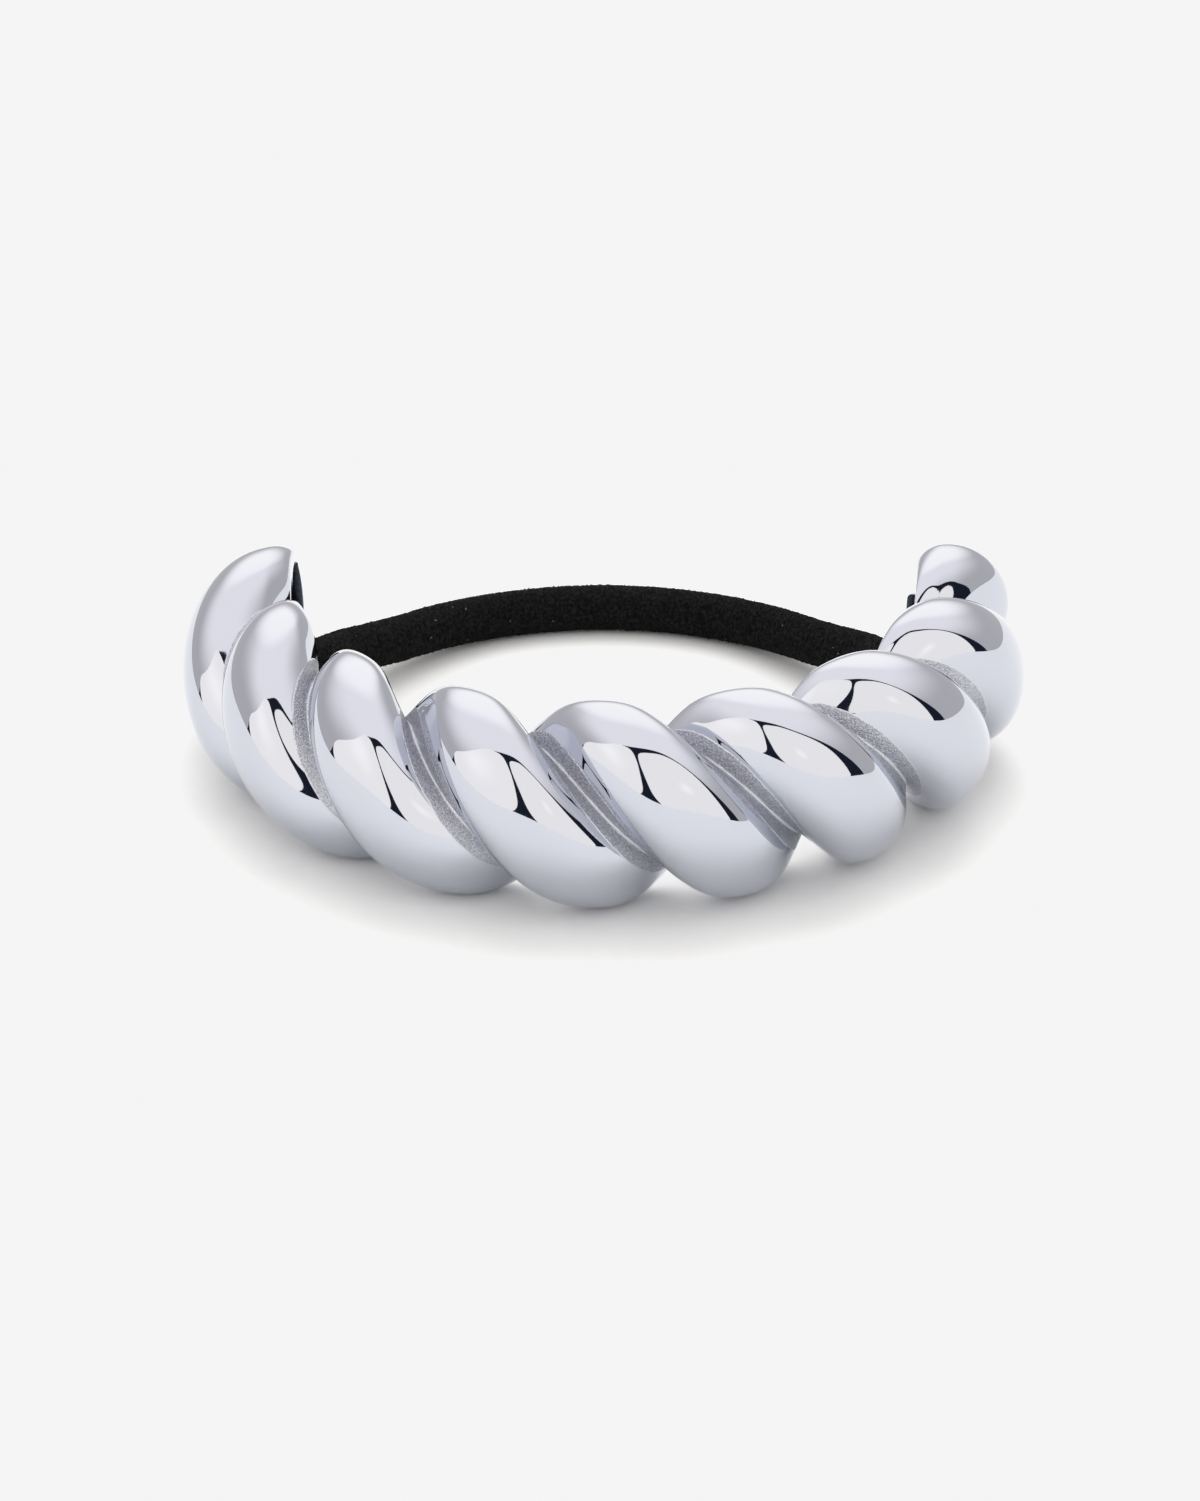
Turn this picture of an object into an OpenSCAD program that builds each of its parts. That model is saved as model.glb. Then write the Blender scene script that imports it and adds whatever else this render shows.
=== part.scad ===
// A hair tie: a polished metal cuff, twisted from two fat strands and bent into a C, with a round
// elastic loop threaded through it. Millimetres, +Z up. The cuff stands on z = 0, and the origin is
// the middle of the cuff's own box there. Azimuths are measured round the ring from its front, -Y.

/* [Ring] */
// Radius of the circle that the middle of the twist follows
ring_radius = 26; // [26:0.1:27]
// Arc length from the front of the ring to each end of the cuff
arm_length = 47.5; // [47.2:0.1:48]
// Length of the dome that closes each end of the cuff
dome_length = 4.5; // [4:0.5:5]
// Fullness of the dome: a lower number makes a blunter end
dome_power = 1.1; // [1:0.05:1.2]

/* [Strands] */
// Arc length over which the twist makes half a turn
half_turn = 10.4; // [10.35:0.05:10.6]
// Angle by which the twist is turned at the front of the ring
front_turn = 17; // [14:1:19]
// Half height of one strand
strand_half_height = 4.75; // [4.7:0.05:5]
// Half width of one strand
strand_half_width = 5.7; // [5.6:0.1:6]
// Distance from the middle of each strand to the middle of the twist
strand_offset = 3.3; // [3.2:0.1:3.4]
// Depth of the twist on the outer side of the ring, as a share of its height
outer_depth = 0.82; // [0.8:0.01:0.9]
// Depth of the twist on the inner side of the ring, as a share of its height
inner_depth = 0.6; // [0.58:0.01:0.64]
// Distance from the middle of the twist to the flat inner face
inner_flat = 2.1; // [2.05:0.05:2.15]

/* [Mouths] */
// Azimuth of the middle of each mouth
mouth_azimuth = 95; // [94.8:0.1:95.2]
// Width of each mouth round the ring, inside its lip
mouth_width = 6.2; // [6:0.1:6.4]
// Height of each mouth, inside its lip
mouth_height = 11.6; // [11:0.2:11.8]
// Depth of each mouth behind the flat inner face
mouth_depth = 1.9; // [1.85:0.05:2]
// Radius of the rounded lip round each mouth
lip_radius = 0.9; // [0.7:0.1:1]
// Radius of the channel that joins the two mouths inside the cuff
channel_radius = 2.1; // [2:0.05:2.15]

/* [Elastic] */
// Diameter of the elastic
elastic_diameter = 3.4; // [3:0.1:3.4]

/* [Hidden] */

middle_height = strand_half_height + strand_offset;

// Rings along the straight part and along each dome of the cuff's skin, and points in one ring
skin_rings = 84;
dome_rings = 6;
skin_sides = 36;
// Points in the oval of a mouth, rings in its rounded lip, and how far the lip stands out of the face
mouth_sides = 24;
lip_rings = 3;
lip_rise = 0.15;

// The elastic's stretch inside the cuff: a bend about the middle of the ring
hidden_shift = 0.5;
hidden_height = 8;
hidden_reach = 72;
hidden_step = 12;
hidden_size = 0.95;
// Its open run from the right mouth to the back, about the middle of the ring. The left is its mirror image.
// Columns: x, y, z and the share of its diameter, which the mouth's lip pinches
open_run = [
    [26.3, -5, 7.9, 0.93],
    [26.6, -2.2, 7.5, 0.9],
    [25.9, 0.2, 6.9, 0.88],
    [24.3, 1.9, 6.2, 0.88],
    [22.5, 3.4, 5.6, 0.88],
    [21.3, 5.2, 4.9, 0.92],
    [20.8, 7.4, 4.1, 1],
    [19, 9.9, 3.4, 1],
    [16.8, 12.7, 2.7, 1],
    [13.4, 16.4, 2.2, 1],
    [9.4, 19.2, 1.85, 1],
    [4.8, 20.7, 1.8, 1],
    [0, 21.2, 1.8, 1]
];
// Points of the open run that lie inside the cuff, which the channel follows too
inner_points = 4;
elastic_sides = 8;
channel_sides = 12;

// Distance from the middle of the twist to its outline, at an angle from the line through its strands.
// The outline is that of two ovals side by side.
function outline(angle) =
    let (along = abs(cos(angle)),
         p = pow(along / strand_half_height, 2) + pow(sin(angle) / strand_half_width, 2),
         q = strand_offset * along / pow(strand_half_height, 2),
         k = pow(strand_offset / strand_half_height, 2) - 1)
    (q + sqrt(max(0, q * q - p * k))) / p;

// Angle of the line through the strands, from the outward direction
function strand_angle(arc) = 90 + front_turn - 180 * arc / half_turn;

// A point in ring coordinates: radius, azimuth and height
function ring_point(radius, azimuth, height) = [radius * sin(azimuth), -radius * cos(azimuth), height];

// A point of the cuff's skin. Angles are measured from the line through the strands, and size shrinks
// the section where the end domes close it.
function skin_point(arc, angle, size) =
    let (turn = strand_angle(arc) + angle,
         reach = size * outline(angle),
         out = reach * cos(turn),
         depth = out > 0 ? outer_depth * out : max(inner_depth * out, -inner_flat))
    ring_point(ring_radius + depth, arc / ring_radius * 180 / PI, middle_height + reach * sin(turn));

// Each station along the cuff: its arc length and the size of the section there
function stations() =
    let (start = arm_length - dome_length,
         dome = [for (i = [1:dome_rings])
             let (a = 90 * i / (dome_rings + 0.5))
             [start + dome_length * sin(a), pow(cos(a), dome_power)]])
    concat(
        [for (i = [dome_rings - 1:-1:0]) [-dome[i][0], dome[i][1]]],
        [for (i = [0:skin_rings]) [start * (2 * i / skin_rings - 1), 1]],
        dome);

// Faces between neighbouring rings of n points, as triangles. A loop's last ring joins its first.
function side_faces(rings, n, loop) = [
    for (i = [0:rings - (loop ? 1 : 2)])
        for (j = [0:n - 1])
            let (a = i * n + j,
                 b = i * n + (j + 1) % n,
                 step = i == rings - 1 ? -i * n : n)
            each [[a, b + step, a + step], [a, b, b + step]]
];

// All points of the cuff's skin, ring after ring, then the tips of its two domes
skin_points = concat(
    [for (row = stations())
        for (j = [0:skin_sides - 1]) skin_point(row[0], 360 * j / skin_sides, row[1])],
    [for (side = [-1, 1]) skin_point(side * arm_length, 0, 0)]);

// From the middle of the ring to the middle of the cuff's box, and its lowest point
skin_x = [for (p = skin_points) p[0]];
skin_y = [for (p = skin_points) p[1]];
skin_z = [for (p = skin_points) p[2]];
ring_middle = [-(min(skin_x) + max(skin_x)) / 2, -(min(skin_y) + max(skin_y)) / 2, -min(skin_z)];

module skin_solid() {
    tips = len(skin_points) - 2;
    faces = concat(
        side_faces(tips / skin_sides, skin_sides, false),
        [for (j = [0:skin_sides - 1]) [tips, (j + 1) % skin_sides, j]],
        [for (j = [0:skin_sides - 1])
            [tips + 1, tips - skin_sides + j, tips - skin_sides + (j + 1) % skin_sides]]);
    polyhedron(skin_points, faces);
}

// The space of one mouth: an oval prism that points out of the ring and flares round its lip
module mouth(azimuth) {
    face = ring_radius - inner_flat;
    // Each row is a radius and how far the oval there stands out from the oval inside the lip
    rows = concat(
        [[face - lip_radius, lip_radius]],
        [for (i = [0:lip_rings])
            let (a = 90 * i / lip_rings)
            [face - lip_rise + lip_radius * (1 - cos(a)), lip_radius * (1 - sin(a))]],
        [[face + mouth_depth, 0]]);
    points = [
        for (row = rows)
            for (j = [0:mouth_sides - 1])
                let (a = -360 * j / mouth_sides,
                     aside = (mouth_width / 2 + row[1]) * cos(a),
                     up = (mouth_height / 2 + row[1]) * sin(a))
                ring_point(row[0], azimuth + aside / ring_radius * 180 / PI, middle_height + up)
    ];
    tube_solid(points, len(rows), mouth_sides);
}

// A solid through rings of n points, closed by flat ends
module tube_solid(points, rings, n) {
    last = (rings - 1) * n;
    faces = concat(
        side_faces(rings, n, false),
        [[for (j = [n - 1:-1:0]) j]],
        [[for (j = [0:n - 1]) last + j]]);
    polyhedron(points, faces);
}

// The elastic's route: its hidden stretch, out of the right mouth, round the back and in at the left
hidden_run =
    let (radius = ring_radius + hidden_shift)
    [for (a = [-hidden_reach:hidden_step:hidden_reach])
        [radius * sin(a), -radius * cos(a), hidden_height, hidden_size]];

function mirrored(row) = [-row[0], row[1], row[2], row[3]];

elastic_route = concat(
    hidden_run,
    open_run,
    [for (i = [len(open_run) - 2:-1:0]) mirrored(open_run[i])]);

channel_route = concat(
    [for (i = [inner_points - 1:-1:0]) mirrored(open_run[i])],
    hidden_run,
    [for (i = [0:inner_points - 1]) open_run[i]]);

function place(row) = [row[0], row[1], row[2]];
function unit(v) = v / norm(v);

// One ring of n points round a route, square to the line from the point before to the point after
function route_ring(before, here, after, radius, n) =
    let (along = place(after) - place(before),
         aside = unit(cross(along, [0, 0, 1])),
         up = unit(cross(aside, along)))
    [for (j = [0:n - 1])
        let (a = 360 * j / n)
        place(here) + radius * (aside * cos(a) + up * sin(a))];

module channel() {
    count = len(channel_route);
    points = [
        for (i = [0:count - 1])
            let (before = channel_route[max(0, i - 1)],
                 after = channel_route[min(count - 1, i + 1)])
            each route_ring(before, channel_route[i], after, channel_radius, channel_sides)
    ];
    tube_solid(points, count, channel_sides);
}

module twisted_cuff() {
    color("silver")
    translate(ring_middle)
    difference() {
        skin_solid();
        channel();
        mouth(-mouth_azimuth);
        mouth(mouth_azimuth);
    }
}

module elastic_cord() {
    count = len(elastic_route);
    points = [
        for (i = [0:count - 1])
            let (here = elastic_route[i],
                 before = elastic_route[(i + count - 1) % count],
                 after = elastic_route[(i + 1) % count])
            each route_ring(before, here, after, elastic_diameter / 2 * here[3], elastic_sides)
    ];
    color("black")
    translate(ring_middle)
    polyhedron(points, side_faces(count, elastic_sides, true));
}

twisted_cuff();
elastic_cord();
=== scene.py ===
import math

import bpy
import numpy as np
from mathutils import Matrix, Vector


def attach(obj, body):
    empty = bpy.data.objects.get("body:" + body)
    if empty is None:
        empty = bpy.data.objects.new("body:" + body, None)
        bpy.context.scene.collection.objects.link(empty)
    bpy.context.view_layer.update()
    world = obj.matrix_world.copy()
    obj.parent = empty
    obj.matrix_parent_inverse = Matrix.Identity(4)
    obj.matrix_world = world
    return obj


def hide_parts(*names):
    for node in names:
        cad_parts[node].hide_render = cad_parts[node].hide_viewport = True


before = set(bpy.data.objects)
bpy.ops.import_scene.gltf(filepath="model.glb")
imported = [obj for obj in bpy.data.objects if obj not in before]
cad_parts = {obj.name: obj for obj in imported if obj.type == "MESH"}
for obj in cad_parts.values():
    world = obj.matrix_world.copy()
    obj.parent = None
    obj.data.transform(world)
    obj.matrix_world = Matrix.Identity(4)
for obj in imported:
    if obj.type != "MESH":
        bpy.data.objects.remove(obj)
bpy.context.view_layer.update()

# The view. A camera with a long lens stands half a metre in front of the tie and looks down on it
# at 26 degrees, from about one degree to the right of its middle.
ring_middle = Vector((-0.00014, 0.01274, 0.0))
stand_turn = math.radians(1.024)
stand_tilt = math.radians(26.321)
stand_away = 0.49347
aim_left = 0.00027
aim_down = 0.00054
towards = Vector((math.sin(stand_turn) * math.cos(stand_tilt),
                  -math.cos(stand_turn) * math.cos(stand_tilt), math.sin(stand_tilt)))
across = Vector((math.cos(stand_turn), math.sin(stand_turn), 0))
upward = towards.cross(across)
lens = bpy.data.cameras.new("long_lens")
lens.lens = 152.65
lens.clip_start = 0.05
camera = bpy.data.objects.new("camera", lens)
bpy.context.collection.objects.link(camera)
camera.location = ring_middle + stand_away * towards
aim = ring_middle - aim_left * across - aim_down * upward
camera.rotation_euler = (aim - camera.location).to_track_quat("-Z", "Y").to_euler()
bpy.context.scene.camera = camera

# The white of the table is levelled off a little below full white
white_level = 0.913
brightest = 2.0
finish = bpy.context.scene.view_settings
finish.view_transform = "Standard"
finish.use_curve_mapping = True
levels = finish.curve_mapping
levels.extend = "HORIZONTAL"
levels.clip_max_x = levels.clip_max_y = brightest
white = levels.curves[3].points
white[1].location = (white_level, white_level)
white.new(brightest, white_level)
for point in white:
    point.handle_type = "VECTOR"
levels.update()


# The elastic. One endless loop of round covered rubber, 3.4 mm thick, with a cover of black knitted
# polyamide. It is threaded through the cuff, comes out of both mouths and lies on the table behind.
def linear(code, strength=1.0):
    """The linear colour of an sRGB hex code, times a strength."""
    parts = [int(code[i:i + 2], 16) / 255 for i in (1, 3, 5)]
    return [strength * (c / 12.92 if c <= 0.04045 else ((c + 0.055) / 1.055) ** 2.4)
            for c in parts] + [1]


def add(tree, kind, sockets=None, **settings):
    """Adds a node with its settings, and sets or links the sockets that are named or numbered."""
    node = tree.nodes.new(kind)
    for name, value in settings.items():
        setattr(node, name, value)
    for name, value in (sockets or {}).items():
        if isinstance(value, bpy.types.NodeSocket):
            tree.links.new(value, node.inputs[name])
        else:
            node.inputs[name].default_value = value
    return node


def new_material(name):
    material = bpy.data.materials.new(name)
    material.use_nodes = True
    material.node_tree.nodes.clear()
    return material, material.node_tree


def mesh_piece(name, points, faces, material, smooth=True):
    mesh = bpy.data.meshes.new(name)
    mesh.from_pydata(np.asarray(points).tolist(), [], faces)
    mesh.materials.append(material)
    mesh.polygons.foreach_set("use_smooth", [smooth] * len(mesh.polygons))
    piece = bpy.data.objects.new(name, mesh)
    bpy.context.collection.objects.link(piece)
    return piece


def grid_faces(rows, columns, closed_rows):
    """Quads between the rows of a grid whose columns go right round."""
    i, j = np.meshgrid(np.arange(rows if closed_rows else rows - 1), np.arange(columns),
                       indexing="ij")
    below, beside = (i + 1) % rows, (j + 1) % columns
    corners = [i * columns + j, below * columns + j, below * columns + beside, i * columns + beside]
    return np.stack(corners, axis=-1).reshape(-1, 4).tolist()


def to_metres(points):
    """Points in millimetres from the middle of the ring, in metres in the shared frame."""
    return np.asarray(points) * 0.001 + np.array(ring_middle)


# The route: millimetres from the middle of the ring, and the share of the full thickness, which is
# least where the mouth's lip presses
inside_radius, inside_height, inside_share = 26.5, 8, 0.95
inside_azimuths = np.radians(np.arange(-72, 73, 12))
inside_run = [
    (inside_radius * math.sin(a), -inside_radius * math.cos(a), inside_height, inside_share)
    for a in inside_azimuths]
right_run = [
    (26.3, -5, 7.9, 0.93), (26.6, -2.2, 7.5, 0.9), (25.9, 0.2, 6.9, 0.88), (24.3, 1.9, 6.2, 0.88),
    (22.5, 3.4, 5.6, 0.88), (21.3, 5.2, 4.9, 0.92), (20.8, 7.4, 4.1, 1), (19, 9.9, 3.4, 1),
    (16.8, 12.7, 2.7, 1), (13.4, 16.4, 2.2, 1), (9.4, 19.2, 1.85, 1), (4.8, 20.7, 1.8, 1),
    (0, 21.2, 1.8, 1)]
left_run = [(-x, y, z, share) for x, y, z, share in right_run[-2::-1]]
route = np.array(inside_run + right_run + left_run)
closed = np.vstack([route, route[:1]])
steps = np.linalg.norm(np.diff(closed[:, :3], axis=0), axis=1)
run_length = np.concatenate([[0], np.cumsum(steps)])
loop_length = run_length[-1]

# Knitting courses of 0.33 mm, with five rings of points in each where the elastic shows, which is
# from 5 mm in front of the ring's middle to the back. Inside the cuff one ring in ten is enough.
course = 0.33
rings_per_course = 5
hidden_thinning = 10
shown_from = -5
bend_softening = 1.3
fine_count = round(loop_length / course) * rings_per_course
spots = np.arange(fine_count) / fine_count * loop_length
line = np.stack([np.interp(spots, run_length, column) for column in closed.T], axis=1)
bend_reach = bend_softening / (loop_length / fine_count)
shifts = np.arange(-int(3 * bend_reach), int(3 * bend_reach) + 1)
weights = np.exp(-0.5 * (shifts / bend_reach) ** 2)
line = sum(weight * np.roll(line, shift, axis=0)
           for weight, shift in zip(weights / weights.sum(), shifts))
shown = line[:, 1] > shown_from
kept = shown | (np.arange(fine_count) % hidden_thinning == 0)
ahead = np.roll(line, -1, axis=0)[kept, :3] - np.roll(line, 1, axis=0)[kept, :3]
spots, line, shown = spots[kept], line[kept], shown[kept]
ahead /= np.linalg.norm(ahead, axis=1)[:, None]
aside = np.cross(ahead, [0, 0, 1])
aside /= np.linalg.norm(aside, axis=1)[:, None]
above = np.cross(aside, ahead)

# The knit stands out in slanting stitches, with the yarn's own unevenness over them. The lips of
# the mouths press it thin and smooth.
elastic_sides = 56
stitch_columns = 14
stitch_slant = 1.4
stitch_relief = 0.03
yarn_relief = 0.034
pressed_shares, pressed_radii = (0.88, 0.93, 1), (1.37, 1.64, 1.77)
over_table = 0.02
seeded = np.random.default_rng(7)
turn = np.arange(elastic_sides) / elastic_sides * 2 * math.pi
slant = stitch_slant * np.sin(stitch_columns * turn)
stitch = np.cos(2 * math.pi * spots[:, None] / course + slant[None, :])
uneven = seeded.standard_normal(stitch.shape)
relief = np.where(shown[:, None], stitch_relief * stitch + yarn_relief * uneven, 0)
share = line[:, 3:4]
cover_radius = np.interp(share, pressed_shares, pressed_radii) + relief * share ** 6
outwards = (aside[:, None] * np.cos(turn)[None, :, None]
            + above[:, None] * np.sin(turn)[None, :, None])
cover_points = line[:, None, :3] + cover_radius[..., None] * outwards
cover_points[..., 2] = np.maximum(cover_points[..., 2], over_table)

# Knitted polyamide, dyed black: dull, with a faint sheen of loose fibres. Its filaments are too fine
# to show, so they are drawn as tufts of yarn, 0.26 mm across.
tufts_per_metre = 3800
knit, tree = new_material("knitted_polyamide_black")
where = add(tree, "ShaderNodeTexCoord").outputs["Object"]
tufts = add(tree, "ShaderNodeTexNoise", {
    "Vector": where, "Scale": tufts_per_metre, "Detail": 3, "Roughness": 0.7}).outputs["Fac"]
yarn = add(tree, "ShaderNodeMapRange", {"Value": tufts, "From Min": 0.42, "From Max": 0.66})
dye = add(tree, "ShaderNodeMix", {
    "Factor": yarn.outputs["Result"], "A": linear("#030303"), "B": linear("#1E1E20")},
    data_type="RGBA")
raised = add(tree, "ShaderNodeBump", {"Height": tufts, "Strength": 0.9, "Distance": 0.00006})
cover = add(tree, "ShaderNodeBsdfPrincipled", {
    "Base Color": dye.outputs["Result"], "Roughness": 0.9, "IOR": 1.5,
    "Specular IOR Level": 0.1, "Sheen Weight": 0.03, "Sheen Roughness": 0.6,
    "Sheen Tint": linear("#8C8C90"), "Normal": raised.outputs["Normal"]})
add(tree, "ShaderNodeOutputMaterial", {"Surface": cover.outputs["BSDF"]})

elastic = mesh_piece("elastic", to_metres(cover_points.reshape(-1, 3)),
                     grid_faces(len(line), elastic_sides, True), knit)
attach(elastic, "root")
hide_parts("elastic_cord")


# The loose fibres. Broken filaments of the knitted cover, black like it, stand out of it all over
# and blur its outline.
hair_count = 15000
hair_half_width = 0.022
shortest_hair, longest_hair = 0.07, 0.19
hair_scatter = 0.5
rows = seeded.choice(np.flatnonzero(shown), hair_count)
columns = seeded.integers(0, elastic_sides, hair_count)
roots = cover_points[rows, columns]
lean = seeded.standard_normal((hair_count, 3)) * hair_scatter + outwards[rows, columns]
lean /= np.linalg.norm(lean, axis=1)[:, None]
across_hair = np.cross(lean, seeded.standard_normal((hair_count, 3)))
across_hair *= hair_half_width / np.linalg.norm(across_hair, axis=1)[:, None]
tips = roots + lean * seeded.uniform(shortest_hair, longest_hair, (hair_count, 1))
hair_points = np.stack([roots - across_hair, roots + across_hair, tips], axis=1).reshape(-1, 3)
hair_points[:, 2] = np.maximum(hair_points[:, 2], over_table)
hairs = mesh_piece("elastic_fibres", to_metres(hair_points),
                   np.arange(3 * hair_count).reshape(-1, 3).tolist(), knit)
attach(hairs, "root")


# The lint. A few curled specks of pale cotton, 0.1 to 0.3 mm long, that the knitted cover has
# picked up from other cloth. They cling to the loose fibres.
speck_count = 46
speck_width = 0.028
shortest_half, longest_half = 0.05, 0.14
off_cover = 0.03
curl_share = 0.4
end_rise = 0.02
edge_rise = 0.01
lint, tree = new_material("cotton_lint")
fluff = add(tree, "ShaderNodeBsdfPrincipled", {
    "Base Color": linear("#8E8D8A"), "Roughness": 0.9, "IOR": 1.5})
add(tree, "ShaderNodeOutputMaterial", {"Surface": fluff.outputs["BSDF"]})
rows = seeded.choice(np.flatnonzero(shown), speck_count)
columns = seeded.integers(0, elastic_sides, speck_count)
speck_points, speck_faces = [], []
for row, column in zip(rows, columns):
    out = outwards[row, column]
    side = np.cross(out, seeded.standard_normal(3))
    side /= np.linalg.norm(side)
    long = np.cross(out, side)
    foot = cover_points[row, column] + off_cover * out
    half = seeded.uniform(shortest_half, longest_half)
    curl = [foot - half * long, foot + curl_share * half * side,
            foot + half * long + end_rise * out]
    speck_faces.append([len(speck_points) + k for k in (0, 1, 2, 5, 4, 3)])
    speck_points += curl + [p + speck_width * side + edge_rise * out for p in curl]
speck_points = np.array(speck_points)
speck_points[:, 2] = np.maximum(speck_points[:, 2], over_table)
specks = mesh_piece("elastic_lint", to_metres(speck_points), speck_faces, lint)
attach(specks, "root")


# The cuff. Cast brass, hollow, plated with white metal and mirror polished: two fat strands twisted
# round each other, closed by domes, with an oval mouth in the inner side of each end. Sizes are in
# millimetres, and the outer and inner depths are shares of the twist's own.
ring_radius = 26.0
arm_length = 47.5
dome_length = 4.5
dome_power = 1.1
dome_last = 0.985
half_turn = 10.4
front_turn = math.radians(17)
half_height = 4.75
half_width = 5.7
strand_offset = 3.3
middle_height = half_height + strand_offset
outer_depth = 0.82
inner_depth = 0.6
depth_blend = 2.4
inner_flat = 2.1
crease_fillet = 0.22
edge_fillet = 0.22
wall = 0.7
end_wall_share = 3.4


def strand_angle(arc):
    """Angle of the line through the two strands, from the outward direction."""
    return math.pi / 2 + front_turn - math.pi * arc / half_turn


def outline(angle, inset):
    """Reach of two ovals side by side, with a small fillet in the crease between them."""
    high, wide = half_height - inset, half_width - inset
    p = (np.cos(angle) / high) ** 2 + (np.sin(angle) / wide) ** 2
    k = (strand_offset / high) ** 2 - 1
    q = strand_offset * np.cos(angle) / high ** 2
    one = (q + np.sqrt(q * q - p * k)) / p
    other = (-q + np.sqrt(q * q - p * k)) / p
    return (one + other + np.sqrt((one - other) ** 2 + crease_fillet ** 2)) / 2


def ring_point(radius, azimuth, height):
    return np.stack([radius * np.sin(azimuth), -radius * np.cos(azimuth), height], axis=-1)


def twisted_skin(rings, sides, inset):
    """Points and faces of the twisted surface, or of the hollow, inset by the thickness of the
    wall. The wall is thicker at the ends, behind the mouths."""
    end_wall = end_wall_share * inset
    start, dome = arm_length - dome_length, dome_length - end_wall
    lean_in = np.linspace(0, dome_last, max(6, rings // 8))[1:] * math.pi / 2
    arcs = np.concatenate([np.linspace(0, start, rings), start + dome * np.sin(lean_in)])
    sizes = np.concatenate([np.ones(rings), np.cos(lean_in) ** dome_power])
    arcs = np.concatenate([-arcs[:0:-1], arcs])[:, None]
    sizes = np.concatenate([sizes[:0:-1], sizes])[:, None]
    angle = np.arange(sides)[None, :] / sides * 2 * math.pi
    reach = sizes * outline(angle, inset)
    turned = strand_angle(arcs) + angle
    out = reach * np.cos(turned)
    blend = np.clip(out / depth_blend + 0.5, 0, 1)
    depth = out * (inner_depth + (outer_depth - inner_depth) * blend * blend * (3 - 2 * blend))
    flat = inset - inner_flat
    depth = (depth + flat + np.sqrt((depth - flat) ** 2 + edge_fillet ** 2)) / 2
    points = ring_point(ring_radius + depth, arcs / ring_radius,
                        middle_height + reach * np.sin(turned))
    tips = ring_point(ring_radius, np.array([-1, 1]) * (arm_length - end_wall) / ring_radius,
                      np.full(2, middle_height))
    faces = grid_faces(len(arcs), sides, False)
    first_tip = len(arcs) * sides
    last_ring, last_tip = first_tip - sides, first_tip + 1
    for a in range(sides):
        b = (a + 1) % sides
        faces.append([first_tip, a, b])
    for a in range(sides):
        b = (a + 1) % sides
        faces.append([last_tip, last_ring + b, last_ring + a])
    return np.vstack([points.reshape(-1, 3), tips]), faces


# Each mouth is an oval with a quarter-round lip. Its walls are painted dark from the seventh ring
# on, as shade.
mouth_azimuth = math.radians(95)
mouth_half_width = 3.1
mouth_half_height = 5.8
mouth_depth = 1.9
mouth_sides = 96
lip_radius = 0.9
lip_rise = 0.15
lip_rings = 12
first_dark_ring = 6


def mouth_space(azimuth):
    """Points and faces of the oval space of one mouth, which flares round its lip."""
    face_radius = ring_radius - inner_flat
    rows = [(face_radius - lip_radius, lip_radius)]
    for lean_out in np.linspace(0, math.pi / 2, lip_rings):
        rows.append((face_radius - lip_rise + lip_radius * (1 - math.cos(lean_out)),
                     lip_radius * (1 - math.sin(lean_out))))
    rows.append((face_radius + mouth_depth, 0))
    a = np.arange(mouth_sides) / mouth_sides * 2 * math.pi
    points = [
        ring_point(radius, azimuth + (mouth_half_width + wider) * np.cos(a) / ring_radius,
                   middle_height + (mouth_half_height + wider) * np.sin(a))
        for radius, wider in rows]
    faces = [face[::-1] for face in grid_faces(len(rows), mouth_sides, False)]
    last_row = (len(rows) - 1) * mouth_sides
    faces.append(list(range(mouth_sides))[::-1])
    faces.append(list(range(last_row, last_row + mouth_sides)))
    return np.vstack(points), faces


# Rhodium plate on polished brass: a cool, faintly violet mirror. The buff doesn't reach into the
# grooves between the strands, so there the plate stays satin, with the grain of the casting, and
# its grey is darkened there as painted shade. The real grain is too fine to show, so it is drawn
# 0.14 mm across. The satin's edge wavers in patches of 1.7 mm, and a pale seam, a painted
# highlight, runs along the bottom of each groove.
grains_per_metre = 7000
patches_per_metre = 600
plate, tree = new_material("rhodium_plate_polished")
groove = add(tree, "ShaderNodeAttribute", attribute_name="groove").outputs["Fac"]
where = add(tree, "ShaderNodeTexCoord").outputs["Object"]
grain = add(tree, "ShaderNodeTexNoise", {
    "Vector": where, "Scale": grains_per_metre, "Detail": 2, "Roughness": 0.7}).outputs["Fac"]
patches = add(tree, "ShaderNodeTexNoise", {
    "Vector": where, "Scale": patches_per_metre, "Detail": 3}).outputs["Fac"]
frayed = add(tree, "ShaderNodeMath", {0: patches, 1: 0.16, 2: groove},
             operation="MULTIPLY_ADD").outputs["Value"]
unbuffed_and_painted_shade = add(tree, "ShaderNodeMapRange", {"Value": frayed, "From Min": 0.34, "From Max": 0.42},
               interpolation_type="SMOOTHSTEP").outputs["Result"]
satin = add(tree, "ShaderNodeMapRange", {"Value": unbuffed_and_painted_shade, "To Min": 0.03, "To Max": 0.34})
crumbs = add(tree, "ShaderNodeMapRange", {"Value": grain, "From Min": 0.42, "From Max": 0.62})
# The grooves' casting grain, on a grey darker than the mirror's: the darker grey is painted shade in
# the crease
groove_grain_and_painted_light = add(tree, "ShaderNodeMix", {
    "Factor": crumbs.outputs["Result"], "A": linear("#9C9EA8"), "B": linear("#C4C6CE")},
    data_type="RGBA")
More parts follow.
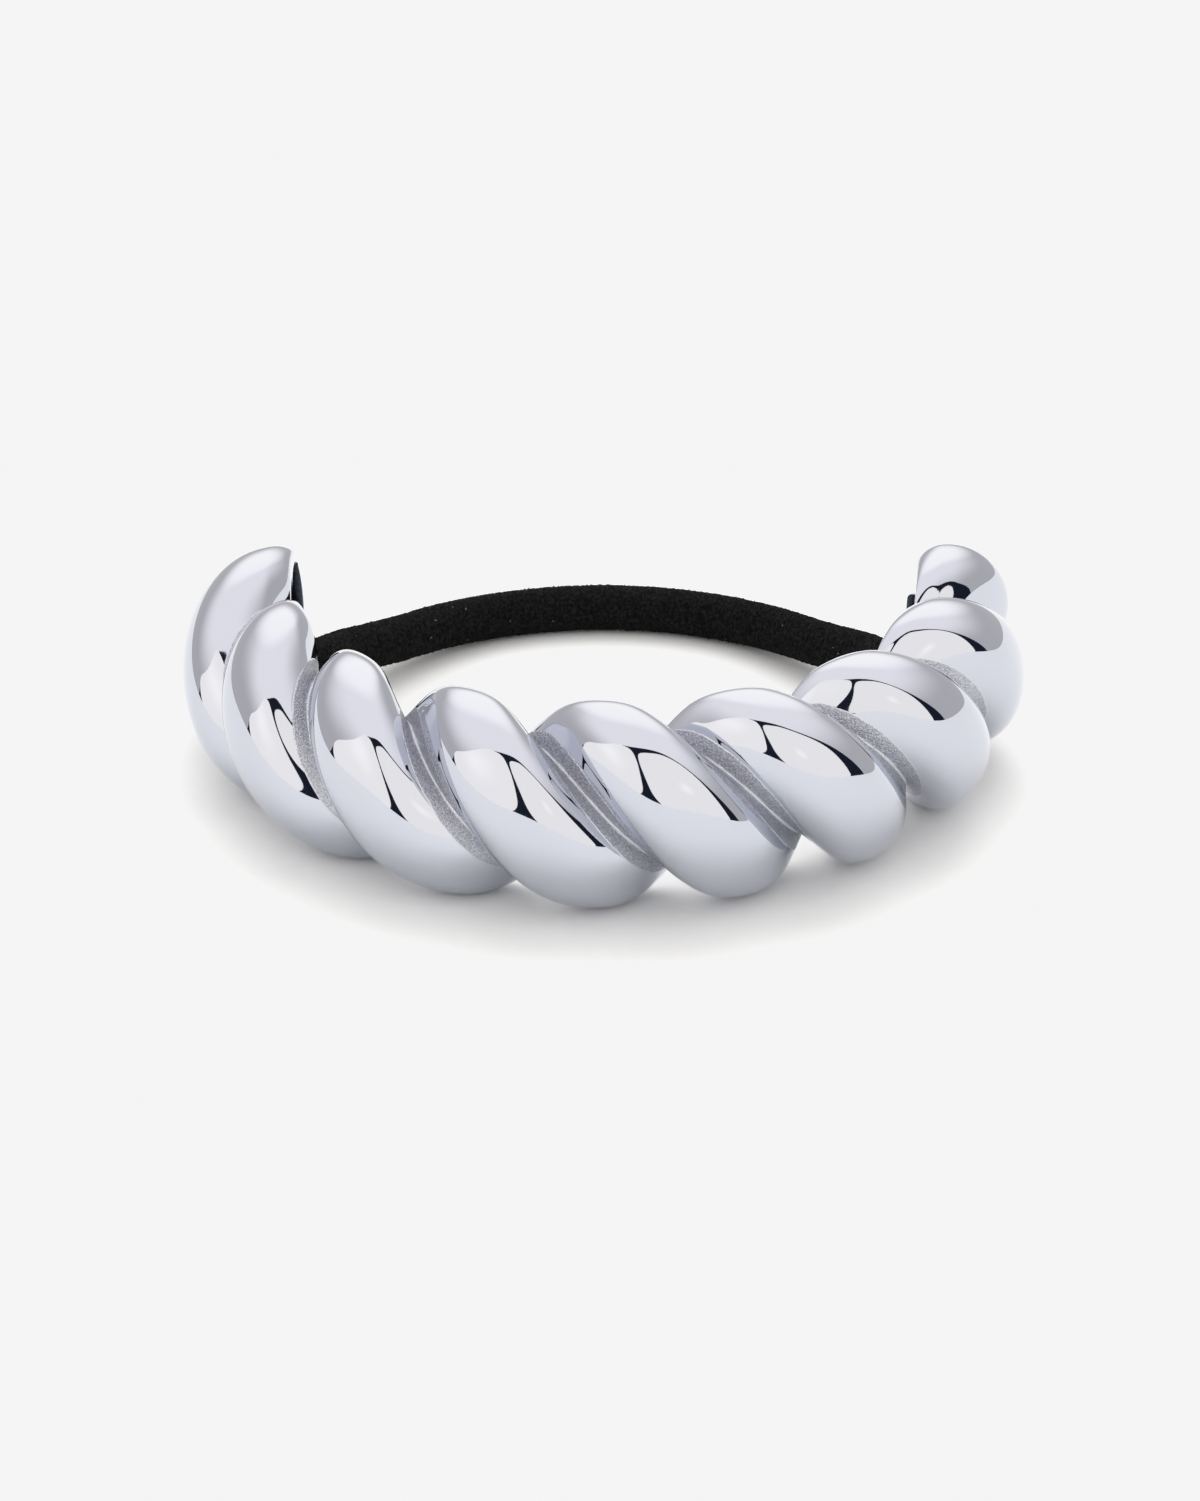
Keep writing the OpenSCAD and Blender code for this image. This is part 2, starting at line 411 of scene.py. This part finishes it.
# The pale seam at the bottom of each groove is a painted highlight
painted_seam_highlight = add(tree, "ShaderNodeMapRange", {"Value": frayed, "From Min": 0.99, "From Max": 1.03})
groove_grain_and_painted_light = add(tree, "ShaderNodeMix", {
    "Factor": painted_seam_highlight.outputs["Result"], "A": groove_grain_and_painted_light.outputs["Result"], "B": linear("#E0E1E7")},
    data_type="RGBA")
tone = add(tree, "ShaderNodeMix", {
    "Factor": unbuffed_and_painted_shade, "A": linear("#C0C3CD"), "B": groove_grain_and_painted_light.outputs["Result"]}, data_type="RGBA")
cast_height = add(tree, "ShaderNodeMath", {0: unbuffed_and_painted_shade, 1: grain}, operation="MULTIPLY")
rough_cast = add(tree, "ShaderNodeBump", {
    "Height": cast_height.outputs["Value"], "Strength": 1.0, "Distance": 0.00006})
mirror = add(tree, "ShaderNodeBsdfPrincipled", {
    "Base Color": tone.outputs["Result"], "Metallic": 1.0, "Roughness": satin.outputs["Result"],
    "Normal": rough_cast.outputs["Normal"]})
add(tree, "ShaderNodeOutputMaterial", {"Surface": mirror.outputs["BSDF"]})

# Cast brass inside, dull slate grey, with the marks of the casting sand, 0.4 mm across. Its dark
# grey is painted shade in the hollow and behind the mouths' lips.
sand_per_metre = 2500
painted_shade_lining, tree = new_material("inner_walls_painted_shade")
where = add(tree, "ShaderNodeTexCoord").outputs["Object"]
sand = add(tree, "ShaderNodeTexNoise", {
    "Vector": where, "Scale": sand_per_metre, "Detail": 4}).outputs["Fac"]
painted_shade_sand_tone = add(tree, "ShaderNodeMix", {
    "Factor": sand, "A": linear("#2F333C"), "B": linear("#4C515D")}, data_type="RGBA")
pitted = add(tree, "ShaderNodeBump", {"Height": sand, "Strength": 0.5, "Distance": 0.0001})
dull = add(tree, "ShaderNodeBsdfPrincipled", {
    "Base Color": painted_shade_sand_tone.outputs["Result"], "Metallic": 1.0, "Roughness": 0.42,
    "Normal": pitted.outputs["Normal"]})
add(tree, "ShaderNodeOutputMaterial", {"Surface": dull.outputs["BSDF"]})


def solid(name, shape, material, dark_faces=()):
    """A piece of the given points and faces. Those of its faces that are dark get the painted shade
    lining.
    """
    points, faces = shape
    piece = mesh_piece(name, to_metres(points), faces, material)
    piece.data.materials.append(painted_shade_lining)
    for k in dark_faces:
        piece.data.polygons[k].material_index = 1
    return piece


# The hollow and the mouths are cut out of the skin. Behind its lip, a mouth's walls get the painted
# shade lining.
cuff = solid("cuff", twisted_skin(220, 140, 0), plate)
spaces = [solid("hollow", twisted_skin(90, 36, wall), painted_shade_lining)]
for azimuth in (-mouth_azimuth, mouth_azimuth):
    shape = mouth_space(azimuth)
    painted_shade_faces = range(first_dark_ring * mouth_sides, len(shape[1]))
    spaces.append(solid("mouth", shape, plate, painted_shade_faces))
for space in spaces:
    cut = cuff.modifiers.new("cut", "BOOLEAN")
    cut.operation = "DIFFERENCE"
    cut.solver = "MANIFOLD"
    cut.material_mode = "TRANSFER"
    cut.object = space
carved = bpy.data.meshes.new_from_object(
    cuff.evaluated_get(bpy.context.evaluated_depsgraph_get()))
cuff.modifiers.clear()
cuff.data = carved
for space in spaces:
    bpy.data.objects.remove(space)
carved.polygons.foreach_set("use_smooth", [True] * len(carved.polygons))
sharp_edge = math.radians(32)
carved.set_sharp_from_angle(angle=sharp_edge)

# How near each point lies to the groove between the strands, from 0 to 1. It places the satin, the
# painted shade and the painted seam highlight. The buff reaches all of the domes, the flat inner
# face and the mouths' lips.
groove_reach = 2.0
buffed_dome = 1.2
satin_fade = 2.5
buffed_face = 2.0
buffed_lip = 4.2
lip_reach = 0.1
spot = (np.array([v.co for v in carved.vertices]) - np.array(ring_middle)) * 1000
radius = np.hypot(spot[:, 0], spot[:, 1])
arc = np.arctan2(spot[:, 0], -spot[:, 1]) * ring_radius
out = (radius - ring_radius) / np.where(radius > ring_radius, outer_depth, inner_depth)
height = spot[:, 2] - middle_height
off_groove = np.abs(np.cos(np.arctan2(height, out) - strand_angle(arc))) * np.hypot(out, height)
nearness = np.clip(1 - off_groove / groove_reach, 0, 1)
nearness *= np.clip((arm_length - buffed_dome - np.abs(arc)) / satin_fade, 0, 1)
off_mouth = np.abs(np.abs(arc) - mouth_azimuth * ring_radius)
nearness[radius < ring_radius - buffed_face] = 0
nearness[(off_mouth < buffed_lip) & (radius < ring_radius - lip_reach)] = 0
carved.attributes.new("groove", "FLOAT", "POINT").data.foreach_set("value", nearness)
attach(cuff, "root")
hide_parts("twisted_cuff")


# The table. A plain sheet of matt white board, larger than any view of the tie shows. Its fibres
# are too fine to show, so they are drawn 1.1 mm long, and very faint.
board_half = 3
fibres_per_metre = 900
board, tree = new_material("white_board")
where = add(tree, "ShaderNodeTexCoord").outputs["Object"]
fibre = add(tree, "ShaderNodeTexNoise", {
    "Vector": where, "Scale": fibres_per_metre, "Detail": 2})
paper = add(tree, "ShaderNodeMix", {
    "Factor": fibre.outputs["Fac"], "A": linear("#F3F3F3"), "B": linear("#F7F7F7")},
    data_type="RGBA")
matt = add(tree, "ShaderNodeBsdfPrincipled", {
    "Base Color": paper.outputs["Result"], "Roughness": 0.8, "IOR": 1.45,
    "Specular IOR Level": 0.1})
add(tree, "ShaderNodeOutputMaterial", {"Surface": matt.outputs["BSDF"]})
corners = [(board_half * x, board_half * y, 0) for x, y in ((-1, -1), (1, -1), (1, 1), (-1, 1))]
table = mesh_piece("table", corners, [(0, 1, 2, 3)], board, smooth=False)


# The studio. A large pale scrim arches over the table from behind and ends in an edge in front.
# Under it hangs black cloth, with two tall softboxes before it, and the mirror of the cuff shows
# all three.
def bearing(azimuth, elevation):
    """A direction, from its azimuth to the right of the camera and its elevation, in degrees."""
    a, e = math.radians(azimuth), math.radians(elevation)
    return Vector((math.sin(a) * math.cos(e), -math.cos(a) * math.cos(e), math.sin(e)))


hoop_count = 8
long_edge = 30
long_edge_parts = 12


def hanging(name, corners, distance, rounding, shade, code, strength, glow=None):
    """A panel round the ring, its corners as azimuth and elevation. Each rounding cuts its corners
    once. Its glow is a direction, a reach in degrees and a strength."""
    rim = [Vector((*corner, 0)) for corner in corners]
    for _ in range(rounding):
        rim = [a.lerp(b, share)
               for a, b in zip(rim, rim[1:] + rim[:1]) for share in (0.25, 0.75)]
    rim = [a.lerp(b, k / long_edge_parts)
           for a, b in zip(rim, rim[1:] + rim[:1])
           for k in range(long_edge_parts if (b - a).length > long_edge else 1)]
    heart = sum(rim, Vector()) / len(rim)
    hoops = [[heart.lerp(corner, hoop / hoop_count) for corner in rim]
             for hoop in range(hoop_count + 1)]
    points = [ring_middle + distance * bearing(*corner.xy) for hoop in hoops for corner in hoop]
    material, tree = new_material(shade)
    colour = linear(code, strength)
    light = add(tree, "ShaderNodeEmission", {"Color": colour})
    if glow:
        direction, reach, brightness = glow
        where = add(tree, "ShaderNodeNewGeometry").outputs["Position"]
        lamp = ring_middle + distance * bearing(*direction)
        away = add(tree, "ShaderNodeVectorMath", {0: where, 1: lamp}, operation="DISTANCE")
        near = add(tree, "ShaderNodeMapRange", {
            "Value": away.outputs["Value"], "From Min": distance * math.radians(reach),
            "From Max": 0.0}, interpolation_type="SMOOTHSTEP")
        hot = add(tree, "ShaderNodeMix", {
            "Factor": near.outputs["Result"], "A": colour, "B": linear(code, brightness)},
            data_type="RGBA")
        tree.links.new(hot.outputs["Result"], light.inputs["Color"])
    add(tree, "ShaderNodeOutputMaterial", {"Surface": light.outputs["Emission"]})
    panel = mesh_piece(name, points, grid_faces(len(hoops), len(rim), False), material,
                       smooth=False)
    panel.visible_camera = panel.visible_diffuse = panel.visible_shadow = False


cloth_rim = [
    (-93, -3), (-86, 0), (-80, 13), (-68, 26), (-57, 38), (-46, 51), (-33, 57), (-13, 62),
    (10, 64.5), (30, 63.5), (46, 59), (59, 50), (70, 37), (79, 22), (86, 8), (88, -3)]
left_rim = [
    (-70, -5), (-81, -1), (-82, 14), (-67, 28), (-56, 40), (-44, 53), (-32, 58), (-12, 59),
    (-7, 46), (-9, 26), (-13, 5), (-26, -5)]
right_rim = [
    (9, -5), (-3, 5), (-4, 26), (-5, 47), (0, 58), (30, 60), (46, 56), (60, 46.5), (70, 31),
    (72, 10), (71, -5)]
hanging("cloth", cloth_rim, distance=2.3, rounding=1, shade="cotton_cloth_black",
        code="#1D222E", strength=1.25)
hanging("left_softbox", left_rim, distance=2.2, rounding=3, shade="diffusion_fabric_left",
        code="#FFFBF4", strength=1.47, glow=((-49, 32), 26, 1.63))
hanging("right_softbox", right_rim, distance=2.2, rounding=3, shade="diffusion_fabric_right",
        code="#FFFBF4", strength=1.43, glow=((34, 23), 9, 1.61))

# The scrim and the room, as the cuff mirrors them: pale grey at the sides, white overhead and
# brightest behind
world = bpy.data.worlds.new("studio")
bpy.context.scene.world = world
world.use_nodes = True
tree = world.node_tree
tree.nodes.clear()
looking = add(tree, "ShaderNodeTexCoord").outputs["Generated"]
rise = add(tree, "ShaderNodeVectorMath", {0: looking, 1: (0, 0, 1)}, operation="DOT_PRODUCT")
overhead = add(tree, "ShaderNodeMapRange", {
    "Value": rise.outputs["Value"], "From Min": 0.25, "From Max": 0.87},
    interpolation_type="SMOOTHSTEP")
scrim = add(tree, "ShaderNodeMix", {
    "Factor": overhead.outputs["Result"], "A": linear("#ECE8E8", 0.84),
    "B": linear("#FAF7F6", 1.4)}, data_type="RGBA")
behind = add(tree, "ShaderNodeVectorMath", {0: looking, 1: bearing(180, 46)},
             operation="DOT_PRODUCT")
lamp = add(tree, "ShaderNodeMapRange", {
    "Value": behind.outputs["Value"], "From Min": 0.78, "From Max": 0.975},
    interpolation_type="SMOOTHSTEP")
mirrored = add(tree, "ShaderNodeMix", {
    "Factor": lamp.outputs["Result"], "A": scrim.outputs["Result"],
    "B": linear("#FFFCF8", 1.63)}, data_type="RGBA")

# The elastic and the table get an even fill from it, and the camera sees a backdrop of the table's
# own colour
rays = add(tree, "ShaderNodeLightPath")
fill = add(tree, "ShaderNodeMix", {
    "Factor": rays.outputs["Is Diffuse Ray"], "A": mirrored.outputs["Result"],
    "B": linear("#FFFEFB", 1.14)}, data_type="RGBA")
backdrop = add(tree, "ShaderNodeMix", {
    "Factor": rays.outputs["Is Camera Ray"], "A": fill.outputs["Result"],
    "B": linear("#F5F5F5")}, data_type="RGBA")
glow = add(tree, "ShaderNodeBackground", {"Color": backdrop.outputs["Result"], "Strength": 1.0})
add(tree, "ShaderNodeOutputWorld", {"Surface": glow.outputs["Background"]})

# The light that falls through the scrim, from above and behind. It deepens the shadows under the
# cuff and the elastic.
falling = bpy.data.lights.new("scrim_light", "SUN")
falling.energy = 1.1
falling.angle = math.radians(50)
scrim_light = bpy.data.objects.new("scrim_light", falling)
bpy.context.collection.objects.link(scrim_light)
scrim_light.rotation_euler = bearing(180, 56).to_track_quat("Z", "Y").to_euler()
scrim_light.visible_glossy = False
